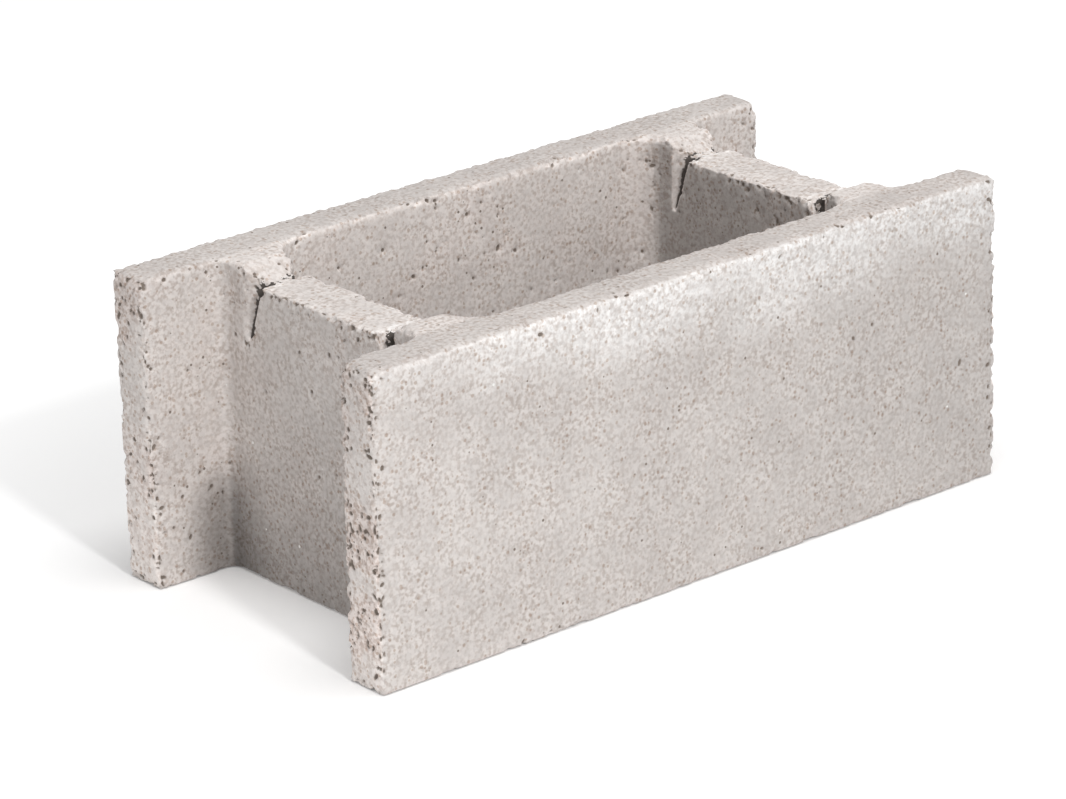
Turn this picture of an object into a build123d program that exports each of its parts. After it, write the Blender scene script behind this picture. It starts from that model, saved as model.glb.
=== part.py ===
from build123d import *
import os

# A concrete formwork block: face shells joined by set-back webs, cast in one piece.
# The block stands on its bed face, as it does in a wall. X runs along the wall, Y through its
# thickness and Z up, and the origin is the centre of the bed face. Lengths are in millimetres.

# Overall size
block_length = 500.0
block_width = 250.0
block_height = 200.0

# Walls, measured at the top of the block, where the tapered mould cores leave them thinnest
shell_thickness = 30.0
web_thickness = 37.0
web_setback = 60.0  # from the end of the block to the web's outer face
mould_draft = 1.0  # degrees of taper on every wall that a mould core forms

# Shoulders, where the webs run out into the shells
shoulder_reach = 20.0  # how far a shoulder stands in from the shell
core_corner_radius = 22.0
pocket_corner_radius = 9.0

# Seat for the reinforcing bars on top of each web
seat_depth = 10.0
seat_ramp = 14.0  # run of the ramp from a shoulder down to the seat

# Notches in both faces of a web, beside its shoulders, so that its top can be knocked out
notch_setback = 24.0  # from the shell to the edge of the notch, which is upright there
notch_width = 16.0  # at the seat
notch_foot = 3.0  # width at the lower end
notch_height = 37.0  # from the seat down
notch_depth = 15.0  # into the face of the web, at the seat

# Rounding of the edges
end_arris_radius = 2.5  # upright edges at the ends of the shells
bed_arris_radius = 2.0  # round the top and bottom beds
seat_arris_radius = 1.5

# Every cut runs this far past the face that it opens
overrun = 10.0

# Places worked out from the sizes above
end_x = block_length / 2
web_outer_x = end_x - web_setback
web_inner_x = web_outer_x - web_thickness
cavity_y = block_width / 2 - shell_thickness
shoulder_y = cavity_y - shoulder_reach
seat_y = shoulder_y - seat_ramp
seat_z = block_height - seat_depth
notch_y = cavity_y - notch_setback
notch_z = seat_z - notch_height


def mould_core(outline):
    """The tapered mould core that leaves this outline open at the top of the block."""
    blank = extrude(Plane.XY.offset(-overrun) * outline, amount=block_height + 2 * overrun)
    sides = blank.faces().sort_by(Axis.Z)[1:-1]
    return draft(sides, Plane.XY.offset(block_height), -mould_draft)


def core_outline():
    """The closed core between the webs, with round corners."""
    return RectangleRounded(2 * web_inner_x, 2 * cavity_y, core_corner_radius)


def pocket_outline():
    """The open end between the shells, with round corners beside the web."""
    from_web = (Align.MIN, Align.CENTER)
    blank = Rectangle(web_setback + overrun, 2 * cavity_y, align=from_web)
    outline = Pos(web_outer_x, 0) * blank
    return fillet(outline.vertices().group_by(Axis.X)[0], pocket_corner_radius)


def shells_and_webs():
    """The block with webs of full height: a box less its mould cores, with rounded arrises."""
    on_bed = (Align.CENTER, Align.CENTER, Align.MIN)
    solid = Box(block_length, block_width, block_height, align=on_bed)
    pocket = mould_core(pocket_outline())
    solid -= [mould_core(core_outline()), pocket, mirror(pocket, about=Plane.YZ)]
    ends = solid.faces().group_by(Axis.X)
    solid = fillet((ends[0] + ends[-1]).edges().filter_by(Axis.Y, reverse=True), end_arris_radius)
    beds = solid.faces().group_by(Axis.Z)
    return fillet((beds[0] + beds[-1]).edges(), bed_arris_radius)


def along_block(*corners):
    """The solid that a YZ outline with these corners sweeps along the whole block."""
    outline = make_face(Polyline(*corners, close=True))
    return extrude(Plane.YZ * outline, amount=end_x + overrun, both=True)


def seat_cut():
    """The channel across both webs, between the ramps of their shoulders."""
    mouth_y = shoulder_y + overrun * seat_ramp / seat_depth
    mouth_z = block_height + overrun
    return along_block((-seat_y, seat_z), (seat_y, seat_z), (mouth_y, mouth_z), (-mouth_y, mouth_z))


def notch_cut(face_x, outward):
    """The wedge that notches a web's face at this X, where outward is 1 or -1 along X."""
    near_y = notch_y - notch_width
    open_x = face_x + outward * overrun
    open_y = notch_y + overrun * notch_width / notch_depth
    open_z = block_height + overrun
    tip = (face_x - outward * notch_depth, near_y)
    plan = make_face(Polyline(tip, (open_x, near_y), (open_x, open_y), close=True))
    wedge = extrude(Plane.XY.offset(notch_z) * plan, amount=open_z - notch_z, dir=(0, 0, 1))
    return wedge & along_block(
        (open_y, notch_z),
        (notch_y - notch_foot, notch_z),
        (near_y, seat_z),
        (near_y, open_z),
        (open_y, open_z),
    )


def formwork_block():
    """The finished block: its webs lowered to the seats, then notched."""
    solid = shells_and_webs() - seat_cut()
    seats = solid.edges().filter_by(Axis.Y).filter_by_position(
        Axis.Z, seat_z - seat_arris_radius, seat_z + seat_arris_radius
    )
    solid = fillet(seats, seat_arris_radius)
    notches = [notch_cut(web_outer_x, 1), notch_cut(web_inner_x, -1)]
    notches += [mirror(notch, about=Plane.XZ) for notch in notches]
    notches += [mirror(notch, about=Plane.YZ) for notch in notches]
    return solid - notches


os.makedirs("parts", exist_ok=True)
export_step(formwork_block(), "parts/formwork_block.step")
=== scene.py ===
import itertools
import math

import bmesh
import bpy
import numpy as np
from mathutils import Euler, Matrix, Vector
from mathutils.kdtree import KDTree

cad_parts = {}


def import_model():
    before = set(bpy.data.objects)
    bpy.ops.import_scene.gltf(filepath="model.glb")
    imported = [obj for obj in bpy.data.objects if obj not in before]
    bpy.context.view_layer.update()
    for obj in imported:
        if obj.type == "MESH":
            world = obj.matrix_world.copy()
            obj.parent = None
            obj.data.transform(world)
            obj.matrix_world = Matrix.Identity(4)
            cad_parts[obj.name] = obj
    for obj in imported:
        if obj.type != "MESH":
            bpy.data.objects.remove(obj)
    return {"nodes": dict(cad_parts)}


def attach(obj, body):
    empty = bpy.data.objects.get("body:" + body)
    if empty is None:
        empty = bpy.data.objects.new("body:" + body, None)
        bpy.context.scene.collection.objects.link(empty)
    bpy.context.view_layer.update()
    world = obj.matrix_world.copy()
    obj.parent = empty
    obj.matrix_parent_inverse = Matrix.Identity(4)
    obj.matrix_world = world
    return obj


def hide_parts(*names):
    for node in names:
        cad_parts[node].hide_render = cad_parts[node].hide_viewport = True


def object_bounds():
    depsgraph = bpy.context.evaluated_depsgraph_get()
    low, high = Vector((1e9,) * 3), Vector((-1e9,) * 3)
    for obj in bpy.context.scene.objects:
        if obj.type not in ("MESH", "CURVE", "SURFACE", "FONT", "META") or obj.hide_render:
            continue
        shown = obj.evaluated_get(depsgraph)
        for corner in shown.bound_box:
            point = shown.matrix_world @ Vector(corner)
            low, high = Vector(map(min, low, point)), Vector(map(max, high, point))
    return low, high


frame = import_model()
cad_low, cad_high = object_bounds()

# Lengths are in metres.
MM = 0.001
cad_block = frame["nodes"]["formwork_block"]
block_length, block_width, block_height = cad_high - cad_low

# Where the webs and their notches lie, as the CAD part has them
web_inner_x, web_outer_x = 153 * MM, 190 * MM
shell_inner_y = 95 * MM
seat_z = 190 * MM
notch_y, notch_width, notch_depth = 71 * MM, 16 * MM, 15 * MM
notch_z, notch_foot = 153 * MM, 3 * MM

# How finely the concrete is shaped, and how many triangles are kept where it is least even
grain_step = 1.0 * MM
triangle_limit = 190_000

# Relief of the cast faces: the size of its swells, and their depth
wave_size, wave_depth = 45 * MM, 0.3 * MM
lump_size, lump_depth = 9 * MM, 0.2 * MM

# Holes between lumps of the dry mix
hole_count, hole_radii = 2100, (0.8 * MM, 1.7 * MM)

# Worn and crumbled arrises: passes of smoothing that round them, how far these draw a point in
# where it counts fully as arris, and the sizes of the bites
wear_passes, arris_depth = 120, 1.0 * MM
bite_size, crumb_size = 11 * MM, 3.5 * MM

# How near to a face, to an edge of the block or to a seat a point counts as on it
face_reach, edge_reach, seat_reach = 4 * MM, 7 * MM, 6 * MM

# Crumbs left in the notches
crumbs_per_notch, crumb_radii = 3, (1.5 * MM, 2.6 * MM)

# Painted shade at the foot of the cavities: how high it rises, how ragged it is, and its reach from
# a corner
foot_shade_height, foot_shade_ragged, foot_shade_reach = 100 * MM, 14 * MM, 55 * MM

# How far lime has bloomed from the edges of the notches
lime_reach = 6 * MM

# Colours of the concrete
dark_cement, light_cement = (0.594, 0.556, 0.533, 1), (0.645, 0.606, 0.581, 1)
# The first white is lime haze and also painted light along the top of the outer faces.
lime_and_light_white, lime_chip = (0.88, 0.862, 0.848, 1), (0.86, 0.85, 0.83, 1)
# Painted shade: brown in pores and deep holes, and darker brown deep in the notches.
pore_shade, cleft_shade = (0.24, 0.2, 0.17, 1), (0.1, 0.087, 0.079, 1)

# What open faces, grain and specks multiply the colour by
open_tint = (1, 0.955, 0.94, 1)
grain_dark, grain_light = (0.74, 0.685, 0.65, 1), (1.09, 1.095, 1.1, 1)
speck_tint = (0.78, 0.71, 0.66, 1)

# Sizes of the grain in the material
patch_size, coarse_size = 60 * MM, 15 * MM
haze_grain, cement_grain, sand_grain = 3.5 * MM, 2.7 * MM, 2.4 * MM
speck_spacing, speck_radius = 3.2 * MM, 1.4 * MM
chip_spacing, chip_radius = 16 * MM, 1.2 * MM
pore_spacing, pore_radius = 4.5 * MM, 1.1 * MM

# Depths at which a hole in the mesh begins to take painted shade, and is wholly dark with it
hole_dim, hole_dark = 0.5 * MM, 1.3 * MM

# The painted shade deep in a notch: how ragged its edge is, and the share of the notch's width where
# it begins
cleft_grain, cleft_ragged = 4 * MM, 12 * MM
cleft_start, cleft_end = 0.37, 0.43

# Fine relief in the material
relief_strength, relief_height = 0.35, 0.6 * MM

# Studio: the floor, how much it glows for the camera near the block and far off, sky and lamps
floor_size, floor_grey = 40, 0.92
glow_near, glow_far = 0.12, 0.3
sky_strength = 0.48
lamp_distance = 3.5

# The photograph's camera, fitted to the corners of the block, with its angles in degrees
camera_lens = 168.05
camera_place = (-1.8575, -2.1997, 1.1843)
camera_azimuth, camera_elevation, camera_roll = 39.76, 20.92, -1.63


def noise(points, size, seed):
    """Smooth random values from -1 to 1 at the points, in swells about this size across."""
    # The lattice is turned, so that its cells don't line up with the faces of the block.
    turn = np.array(Euler((0.5, 0.7, 0.9)).to_matrix())
    cells = points @ turn / size
    cells -= np.floor(cells.min(0))
    base = np.floor(cells).astype(int)
    lattice = np.random.default_rng(seed).uniform(-1, 1, base.max(0) + 2)
    share = eased(cells - base, 0, 1)
    value = np.zeros(len(points))
    for corner in itertools.product((0, 1), repeat=3):
        weight = np.prod(np.where(corner, share, 1 - share), axis=1)
        value += weight * lattice[tuple((base + corner).T)]
    return value


def eased(value, start, end):
    """A smooth run from 0 at the start to 1 at the end."""
    share = np.clip((value - start) / (end - start), 0, 1)
    return share * share * (3 - 2 * share)


def facing(lean):
    """1 where a face looks along an axis and 0 where it doesn't, from its normal's part there."""
    return eased(lean, 0.5, 0.9)


def pits(points, likely, count, radii, seed):
    """How deep each point lies in one of many long round pits, which open where they are likely."""
    tree = KDTree(len(points))
    for index, point in enumerate(points):
        tree.insert(point, index)
    tree.balance()
    random = np.random.default_rng(seed)
    depth = np.zeros(len(points))
    for centre in random.choice(len(points), count, p=likely / likely.sum()):
        radius, stretch = random.uniform(*radii), random.uniform(1, 2.2)
        direction = random.normal(size=3)
        direction *= math.sqrt(1 - 1 / stretch**2) / np.linalg.norm(direction)
        for place, index, distance in tree.find_range(points[centre], stretch * radius):
            along = direction @ (np.array(place) - points[centre])
            depth[index] = max(depth[index], radius**2 - distance**2 + along**2)
    return np.sqrt(depth)


def smoothed(points, edges, passes):
    """The points drawn towards their neighbours again and again, which rounds off every edge."""
    start, end = edges.T
    count = len(points)
    neighbours = np.bincount(edges.ravel(), minlength=count)[:, None]
    for _ in range(passes):
        drawn = [
            np.bincount(start, axis[end], count) + np.bincount(end, axis[start], count)
            for axis in points.T
        ]
        points = (points + np.stack(drawn, 1) / neighbours) / 2
    return points


def evaluated(shape, kind, **settings):
    """A new mesh: this object's own with one modifier applied."""
    modifier = shape.modifiers.new(kind, kind)
    for name, value in settings.items():
        setattr(modifier, name, value)
    mesh = bpy.data.meshes.new_from_object(
        shape.evaluated_get(bpy.context.evaluated_depsgraph_get())
    )
    shape.modifiers.clear()
    return mesh


def read(collection, name, width, kind=np.float64):
    """One property of every item in a mesh collection, as rows of an array."""
    values = np.empty(len(collection) * width, kind)
    collection.foreach_get(name, values)
    return values.reshape(-1, width)


def write(mesh, name, values):
    """Keeps one value for every point of the mesh, for its material to read."""
    mesh.attributes.new(name, "FLOAT", "POINT").data.foreach_set("value", values)


def add_crumbs(solid):
    """Lumps of concrete that lie in the notches, so that each is partly closed."""
    random = np.random.default_rng(5)
    for side, end, face in itertools.product((-1, 1), (-1, 1), ("inner", "outer")):
        for _ in range(crumbs_per_notch):
            share = random.uniform(0.6, 1)
            inset = share * notch_depth
            x = web_inner_x + inset if face == "inner" else web_outer_x - inset
            y = notch_y - notch_width + (1 - share) * notch_width * random.uniform(0, 1)
            z = seat_z - random.uniform(1, 4) * MM
            radius = random.uniform(*crumb_radii)
            place = Matrix.Translation((end * x, side * y, z))
            bmesh.ops.create_icosphere(solid, subdivisions=2, radius=radius, matrix=place)


def folded(rows):
    """Places or normals as if all four quarters of the block lay on one: |x|, |y| and z."""
    return np.abs(rows[:, 0]), np.abs(rows[:, 1]), rows[:, 2]


def places(points, normals):
    """Masks from 0 to 1 of the outer faces, the shells' ends, the cavities and the seats."""
    x, y, z = folded(points)
    across, outward, upward = folded(normals)
    outside = facing(outward) * (y > block_width / 2 - face_reach)
    ends = facing(across) * (x > block_length / 2 - face_reach)
    inside = (1 - facing(upward)) * (y < shell_inner_y + face_reach) * (1 - ends)
    seats = facing(upward) * (y < shell_inner_y) * (z > seat_z / 2)
    return outside, ends, inside, seats


def painted_light_and_shade(points, normals):
    """Painted light and shade at each point, as a factor on the colour where 1 is plain."""
    x, y, z = folded(points)
    across, _, upward = folded(normals)
    outside, ends, inside, seats = places(points, normals)
    height, along = z / block_height, points[:, 0] / block_length
    # Painted light and shade: tops a little darker, seats lighter, outer faces darker towards the
    # end at +x, the shells' ends lighter towards their foot, pocket walls lighter, and core walls
    # darker low down and lighter high up.
    painted_shade_light_and_wear = 1 - 0.05 * facing(upward) + 0.18 * seats
    painted_shade_light_and_wear -= outside * (0.045 + 0.2 * along)
    painted_shade_light_and_wear += ends * (0.46 - 0.36 * height)
    walls = inside * (1 - facing(across))
    painted_shade_light_and_wear += walls * np.where(x < web_inner_x, 0.5 * height - 0.2, 0.1)

    # Painted shade: the webs' faces towards the core are darker, more so low down, and the foot of
    # every cavity is darker on the webs and near the corners.
    core_side = (x > web_inner_x - 8 * MM) & (x < web_inner_x + 3 * MM)
    painted_shade_light_and_wear *= 1 - inside * core_side * eased(across, 0.8, 0.97) * (0.5 - 0.18 * height)
    web_x = np.where(x > web_outer_x - 5 * MM, web_outer_x, web_inner_x)
    corner = eased(np.hypot(x - web_x, shell_inner_y - y), foot_shade_reach, 0)
    foot_shade = eased(z + foot_shade_ragged * noise(points, 30 * MM, 61), foot_shade_height, 0)
    return painted_shade_light_and_wear * (1 - inside * foot_shade * (0.3 * facing(across) + 0.35 * corner))


def openness(points, normals):
    """How open the concrete is at each point: most on the shells' ends, least on the outer faces."""
    outside, ends, inside, _ = places(points, normals)
    clusters = eased(noise(points, 28 * MM, 41) + 0.5 * noise(points, 9 * MM, 42), -0.2, 0.6)
    plain = 0.25 - 0.15 * outside + 0.15 * inside
    front_or_back = np.where(points[:, 1] < 0, 1, 0.6)
    return plain * (0.4 + 0.6 * clusters) + ends * clusters * front_or_back


def lime_and_top_light(points, normals):
    """Where the concrete is whitened: painted light from above, partly a lime haze, along the top of
    the outer faces, and lime bloom beside the notches.
    """
    x, y, z = folded(points)
    outside = places(points, normals)[0]
    height, along = z / block_height, points[:, 0] / block_length
    clouds = 0.1 * noise(points, 70 * MM, 51) + 0.05 * noise(points, 22 * MM, 52)
    # Painted light from above, partly lime haze: the outer faces lighter towards their top and
    # towards the end at +x.
    top_light_and_haze = outside * eased(height + clouds + 0.15 * along, 0.72, 1) * eased(along, -0.8, -0.2)

    on_web = (x > web_inner_x) & (x < web_outer_x)
    beside = (np.abs(y - notch_y + notch_width) < lime_reach) & on_web
    limed = beside * (z > seat_z - 2 * MM) * eased(noise(points, 5 * MM, 53), 0, 0.4)
    return np.maximum(top_light_and_haze, 0.6 * limed)


def wear(points, normals, arris):
    """How far every arris is worn, from 0 to about 1, and where the arrises crumble most."""
    x, y, z = folded(points)
    bites = noise(points, bite_size, 11) + noise(points, crumb_size, 12)
    worn = arris * np.clip(0.15 + 1.5 * (bites - 0.2), 0.05, 1.1)
    worn *= 0.4 + 0.6 * eased(z, 2 * MM, 14 * MM)

    at_top = z > block_height - edge_reach
    at_end = x > block_length / 2 - edge_reach
    at_inside = y < block_width / 2 - edge_reach
    serrated = 0.45 + 0.5 * noise(points, crumb_size, 15)
    worn = np.maximum(worn, arris * at_top * np.where(at_end & at_inside, 0.8, serrated))

    at_seat = (z > seat_z - seat_reach) & (y < notch_y)
    crumbly = arris * (at_seat | at_end & (np.abs(normals[:, 2]) < 0.5))
    scallops = np.clip(1.3 * noise(points, 1.6 * crumb_size, 14), 0, 1)
    return np.maximum(worn, crumbly * scallops), crumbly


def weather(mesh):
    """Makes concrete of the mesh: uneven faces with pits, and crumbled arrises."""
    points = read(mesh.vertices, "co", 3)
    normals = read(mesh.vertices, "normal", 3)
    edges = read(mesh.edges, "vertices", 2, np.int32)
    rounded = smoothed(points, edges, wear_passes)
    inward = -np.einsum("ij,ij->i", rounded - points, normals)
    arris = np.clip(inward / arris_depth, 0, 1)
    worn, crumbly = wear(points, normals, arris)
    likely = openness(points, normals)
    # Worn arrises a little lighter: fresh broken concrete, and partly a painted highlight along the
    # edges.
    fresh_and_highlight = 0.08 * arris * (1 + noise(points, 2 * crumb_size, 13)) / 2
    # The painted light and shade by place, kept for the material together with the arrises'
    # lightening.
    write(mesh, "painted_shade_light_and_wear", painted_light_and_shade(points, normals) * (1 + fresh_and_highlight))
    write(mesh, "openness", likely)
    # Lime bloom, and painted light along the top of the outer faces.
    write(mesh, "lime_and_top_light", lime_and_top_light(points, normals))
    points = points + worn[:, None] * (rounded - points)

    depth = wave_depth * (1 + noise(points, wave_size, 21)) / 2
    depth += lump_depth * (1 + noise(points, lump_size, 22)) / 2
    holes = pits(points, 2.5 * likely**2 + 0.5 * arris + 3 * crumbly, hole_count, hole_radii, 31)
    write(mesh, "hole", holes)
    points = points - normals * (depth + holes)[:, None]
    points = np.clip(points, cad_low, cad_high)
    mesh.vertices.foreach_set("co", points.ravel())


def concrete_block():
    """The block's visible piece, made from the CAD solid and lying inside it."""
    shape = bpy.data.objects.new("concrete_block", cad_block.data.copy())
    bpy.context.scene.collection.objects.link(shape)
    solid = bmesh.new()
    solid.from_mesh(shape.data)
    bmesh.ops.remove_doubles(solid, verts=solid.verts, dist=0.01 * MM)
    add_crumbs(solid)
    solid.to_mesh(shape.data)
    solid.free()
    shape.data = evaluated(shape, "REMESH", mode="VOXEL", voxel_size=grain_step)
    weather(shape.data)
    # The remeshed faces have four sides, so each makes two triangles.
    triangles = 2 * len(shape.data.polygons)
    shape.data = evaluated(shape, "DECIMATE", ratio=min(1, triangle_limit / triangles))
    shape.data.shade_smooth()
    return shape


def fill(tree, socket, value):
    """Sets an input to a value, or links it from another node's socket."""
    if isinstance(value, bpy.types.NodeSocket):
        tree.links.new(value, socket)
    else:
        socket.default_value = value


def add(tree, kind, settings=None, inputs=None):
    """A new node with these settings and with these inputs filled."""
    node = tree.nodes.new(kind)
    for name, value in (settings or {}).items():
        setattr(node, name, value)
    for name, value in (inputs or {}).items():
        fill(tree, node.inputs[name], value)
    return node


def kept(tree, name):
    """The value that the mesh keeps under this name for each of its points."""
    return add(tree, "ShaderNodeAttribute", {"attribute_name": name}).outputs["Fac"]


def swells(tree, place, size, detail):
    """Soft random patches about this size across, from 0 to 1."""
    inputs = {"Vector": place, "Scale": 1 / size, "Detail": detail, "Roughness": 0.6}
    return add(tree, "ShaderNodeTexNoise", inputs=inputs).outputs["Fac"]


def grains(tree, place, size):
    """Cells about this size across, each with its own random colour."""
    inputs = {"Vector": place, "Scale": 1 / size}
    return add(tree, "ShaderNodeTexVoronoi", inputs=inputs)


def between(tree, value, start, end, low, high):
    """The value's run from start to end, eased into a run from low to high."""
    inputs = {"Value": value, "From Min": start, "From Max": end, "To Min": low, "To Max": high}
    node = add(tree, "ShaderNodeMapRange", {"interpolation_type": "SMOOTHSTEP"}, inputs)
    return node.outputs["Result"]


def math_of(tree, operation, first, second):
    """One sum, product or other operation on two values."""
    node = add(tree, "ShaderNodeMath", {"operation": operation})
    for socket, value in zip(node.inputs, (first, second)):
        fill(tree, socket, value)
    return node.outputs["Value"]


def mixed(tree, kind, share, first, second):
    """Two colours mixed in this way, the second by this share."""
    node = add(tree, "ShaderNodeMix", {"data_type": "RGBA", "blend_type": kind})
    # The node has sockets of the same name for every kind of value. These are those for colours.
    for index, value in ((0, share), (6, first), (7, second)):
        fill(tree, node.inputs[index], value)
    return node.outputs[2]


def spots(tree, place, spacing, radius, common):
    """Round spots, 1 inside and 0 outside, in a share of cells that lie this far apart."""
    cells = grains(tree, place, spacing)
    parts = add(tree, "ShaderNodeSeparateColor", inputs={"Color": cells.outputs["Color"]})
    bare = math_of(tree, "SUBTRACT", 1, common)
    reach = between(tree, parts.outputs["Red"], bare, 1, 0, radius / spacing)
    inside = math_of(tree, "SUBTRACT", reach, cells.outputs["Distance"])
    return between(tree, inside, 0, 0.3 * radius / spacing, 0, 1)


def clefts(tree, place):
    """1 deep in a notch, where little light comes and the shade is painted, and 0 elsewhere."""
    quarter = add(tree, "ShaderNodeVectorMath", {"operation": "ABSOLUTE"}, {"Vector": place})
    parts = add(tree, "ShaderNodeSeparateXYZ", inputs={"Vector": quarter.outputs["Vector"]})
    x, y, z = parts.outputs
    ragged = math_of(tree, "SUBTRACT", swells(tree, place, cleft_grain, 2), 0.5)
    z = math_of(tree, "ADD", z, math_of(tree, "MULTIPLY", ragged, cleft_ragged))
    from_core = math_of(tree, "SUBTRACT", x, web_inner_x)
    from_pocket = math_of(tree, "SUBTRACT", web_outer_x, x)
    inset = math_of(tree, "MINIMUM", from_core, from_pocket)
    limits = {"From Min": notch_z, "From Max": seat_z, "To Min": notch_foot, "To Max": notch_width}
    width = add(tree, "ShaderNodeMapRange", inputs={"Value": z, **limits}).outputs["Result"]
    share = math_of(tree, "DIVIDE", inset, width)
    share = math_of(tree, "ADD", share, math_of(tree, "MULTIPLY", ragged, 0.5))
    deep = between(tree, share, cleft_start, cleft_end, 0, 1)
    far = math_of(tree, "LESS_THAN", y, notch_y)
    near = math_of(tree, "GREATER_THAN", math_of(tree, "ADD", y, width), notch_y - 0.5 * MM)
    below = math_of(tree, "LESS_THAN", z, seat_z - 1 * MM)
    above = math_of(tree, "GREATER_THAN", z, notch_z)
    for limit in (far, near, below, above):
        deep = math_of(tree, "MULTIPLY", deep, limit)
    return deep


def cement_colour(tree, place):
    """Grey in soft patches, whitened by lime and by painted light along the top of the outer faces.
    """
    patches = between(tree, swells(tree, place, patch_size, 3), 0.35, 0.65, 0, 1)
    colour = mixed(tree, "MIX", patches, dark_cement, light_cement)
    granular = between(tree, swells(tree, place, haze_grain, 2), 0.36, 0.62, 0.4, 1)
    lime_and_light_share = math_of(tree, "MULTIPLY", kept(tree, "lime_and_top_light"), granular)
    return mixed(tree, "MIX", lime_and_light_share, colour, lime_and_light_white)


def grained(tree, place, colour, cement, rough):
    """The colour with grain and specks, which are strongest where the concrete is coarse."""
    colour = mixed(tree, "MULTIPLY", rough, colour, open_tint)
    coarse = between(tree, swells(tree, place, coarse_size, 2), 0.38, 0.62, 0.36, 0.76)
    coarse = math_of(tree, "ADD", coarse, math_of(tree, "MULTIPLY", rough, 0.5))
    shade = between(tree, cement, 0.3, 0.62, 0, 1)
    tint = mixed(tree, "MIX", shade, grain_dark, grain_light)
    colour = mixed(tree, "MULTIPLY", coarse, colour, tint)
    specks = spots(tree, place, speck_spacing, speck_radius, coarse)
    return mixed(tree, "MULTIPLY", specks, colour, speck_tint)


def shaded(tree, place, colour):
    """The colour made lighter or darker by the painted light, shade and wear kept in the mesh, and a
    little by each grain of sand.
    """
    sand = grains(tree, place, sand_grain).outputs["Color"]
    light = add(tree, "ShaderNodeSeparateColor", inputs={"Color": sand}).outputs["Red"]
    light = between(tree, light, 0, 1, 0.95, 1.05)
    light = math_of(tree, "MULTIPLY", light, kept(tree, "painted_shade_light_and_wear"))
    parts = {"Red": light, "Green": light, "Blue": light}
    brightness = add(tree, "ShaderNodeCombineColor", inputs=parts).outputs["Color"]
    return mixed(tree, "MULTIPLY", 1.0, colour, brightness)


def concrete_material():
    """Pale sandy concrete: grey cement and sand with white chips of lime, painted light and shade,
    and brown painted shade in pores, holes and notches.
    """
    material = bpy.data.materials.new("concrete")
    material.use_nodes = True
    tree = material.node_tree
    shader = tree.nodes["Principled BSDF"]
    place = add(tree, "ShaderNodeTexCoord").outputs["Object"]
    cement = swells(tree, place, cement_grain, 1)
    rough = kept(tree, "openness")
    colour = grained(tree, place, cement_colour(tree, place), cement, rough)
    colour = shaded(tree, place, colour)

    chips = spots(tree, place, chip_spacing, chip_radius, 0.2)
    colour = mixed(tree, "MIX", chips, colour, lime_chip)
    # Painted shade in the pores and in the deep holes of the mesh.
    pores = spots(tree, place, pore_spacing, pore_radius, rough)
    holes = between(tree, kept(tree, "hole"), hole_dim, hole_dark, 0, 1)
    dark = math_of(tree, "MAXIMUM", pores, holes)
    colour = mixed(tree, "MIX", dark, colour, pore_shade)
    # Painted shade deep in the notches.
    colour = mixed(tree, "MIX", clefts(tree, place), colour, cleft_shade)
    tree.links.new(colour, shader.inputs["Base Color"])

    height = math_of(tree, "SUBTRACT", cement, pores)
    relief = {"Height": height, "Strength": relief_strength, "Distance": relief_height}
    bump = add(tree, "ShaderNodeBump", inputs=relief)
    tree.links.new(bump.outputs["Normal"], shader.inputs["Normal"])
    shader.inputs["Roughness"].default_value = 0.95
    shader.inputs["Specular IOR Level"].default_value = 0.15
    return material


def seen_directly(tree):
    """1 where the camera sees a thing, also in a mirror or through glass, and 0 for its light."""
    path = add(tree, "ShaderNodeLightPath").outputs
    mirrored = math_of(tree, "ADD", path["Is Glossy Ray"], path["Is Transmission Ray"])
    return math_of(tree, "ADD", path["Is Camera Ray"], mirrored)


def floor_material():
    """Pale and matt, with a glow that only the camera sees and that leaves the block's shadow."""
    material = bpy.data.materials.new("floor")
    material.use_nodes = True
    tree = material.node_tree
    shader = tree.nodes["Principled BSDF"]
    shader.inputs["Base Color"].default_value = (floor_grey, floor_grey, floor_grey, 1)
    shader.inputs["Roughness"].default_value = 1.0
    shader.inputs["Specular IOR Level"].default_value = 0.0
    shader.inputs["Emission Color"].default_value = (1, 1, 1, 1)
    place = add(tree, "ShaderNodeTexCoord").outputs["Object"]
    away = add(tree, "ShaderNodeVectorMath", {"operation": "LENGTH"}, {"Vector": place})
    start, end = 0.55 * block_length, 1.1 * block_length
    glow = between(tree, away.outputs["Value"], start, end, glow_near, glow_far)
    glow = math_of(tree, "MULTIPLY", glow, seen_directly(tree))
    tree.links.new(glow, shader.inputs["Emission Strength"])
    return material


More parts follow.
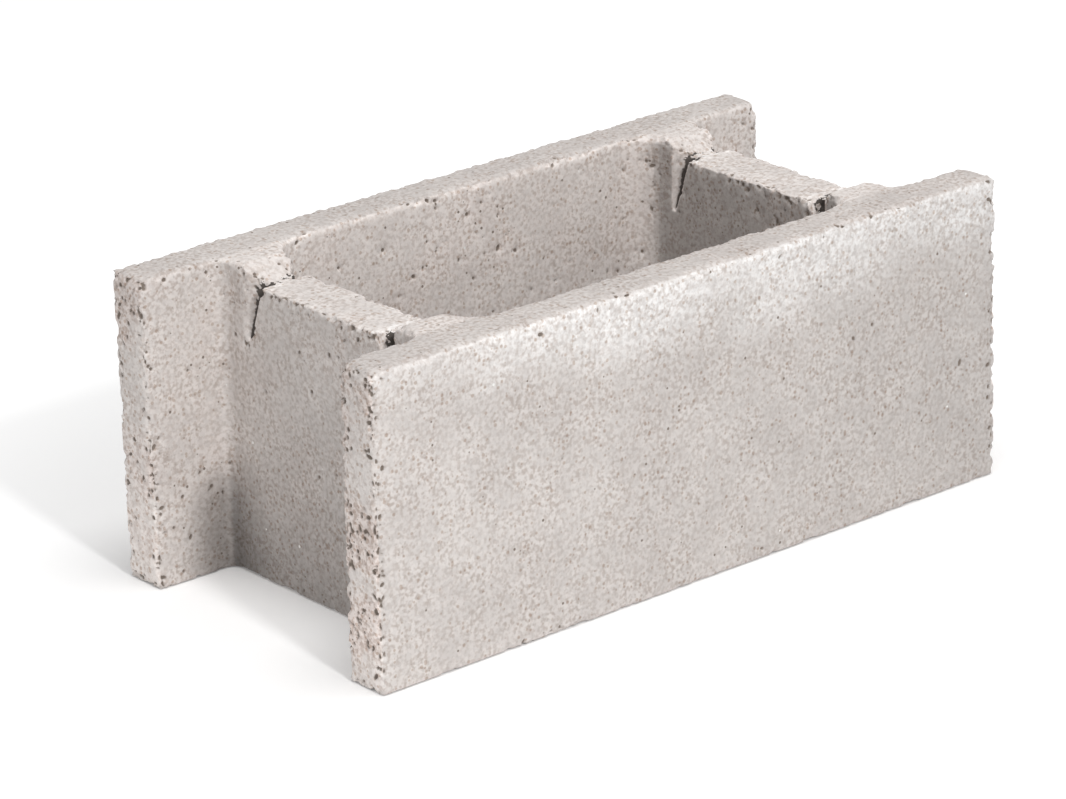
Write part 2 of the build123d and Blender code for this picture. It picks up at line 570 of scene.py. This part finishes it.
def floor():
    """A wide pale floor under the block, which keeps the block's shadow and is white farther off."""
    bpy.ops.mesh.primitive_plane_add(size=floor_size, location=(0, 0, cad_low.z))
    plane = bpy.context.object
    plane.name = "floor"
    plane.data.materials.append(floor_material())


def lamp(name, azimuth, elevation, size, power):
    """A round soft lamp in this direction from the block, in degrees, which faces it."""
    turn, rise = math.radians(azimuth), math.radians(elevation)
    away = Vector((
        math.sin(turn) * math.cos(rise), -math.cos(turn) * math.cos(rise), math.sin(rise)
    ))
    data = bpy.data.lights.new(name, "AREA")
    data.shape = "DISK"
    data.size = size
    data.energy = power
    shape = bpy.data.objects.new(name, data)
    shape.location = Vector((0, 0, block_height / 2)) + lamp_distance * away
    shape.rotation_euler = (-away).to_track_quat("-Z", "Y").to_euler()
    bpy.context.scene.collection.objects.link(shape)


def world():
    """Even white light from all round."""
    sky = bpy.data.worlds.new("studio")
    sky.use_nodes = True
    tree = sky.node_tree
    background = tree.nodes["Background"]
    background.inputs["Color"].default_value = (1, 1, 1, 1)
    strength = between(tree, seen_directly(tree), 0, 1, sky_strength, 1)
    tree.links.new(strength, background.inputs["Strength"])
    bpy.context.scene.world = sky


def camera():
    """The photograph's view: from the front left, looking a little down."""
    data = bpy.data.cameras.new("camera")
    data.sensor_fit = "HORIZONTAL"
    data.sensor_width = 36
    data.lens = camera_lens
    data.clip_end = 100
    shape = bpy.data.objects.new("camera", data)
    angles = camera_azimuth, camera_elevation, camera_roll
    azimuth, elevation, roll = (math.radians(angle) for angle in angles)
    forward = Vector((
        math.cos(elevation) * math.sin(azimuth),
        math.cos(elevation) * math.cos(azimuth),
        -math.sin(elevation),
    ))
    turn = forward.to_track_quat("-Z", "Y").to_matrix() @ Matrix.Rotation(roll, 3, "Z")
    shape.matrix_world = Matrix.Translation(camera_place) @ turn.to_4x4()
    bpy.context.scene.collection.objects.link(shape)
    bpy.context.scene.camera = shape


block = concrete_block()
block.data.materials.clear()
block.data.materials.append(concrete_material())
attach(block, "root")
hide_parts("formwork_block")

floor()
lamp("key", azimuth=347, elevation=36, size=0.35, power=40)
lamp("top", azimuth=0, elevation=80, size=1.6, power=46)
world()
camera()
bpy.context.scene.view_settings.view_transform = "Standard"
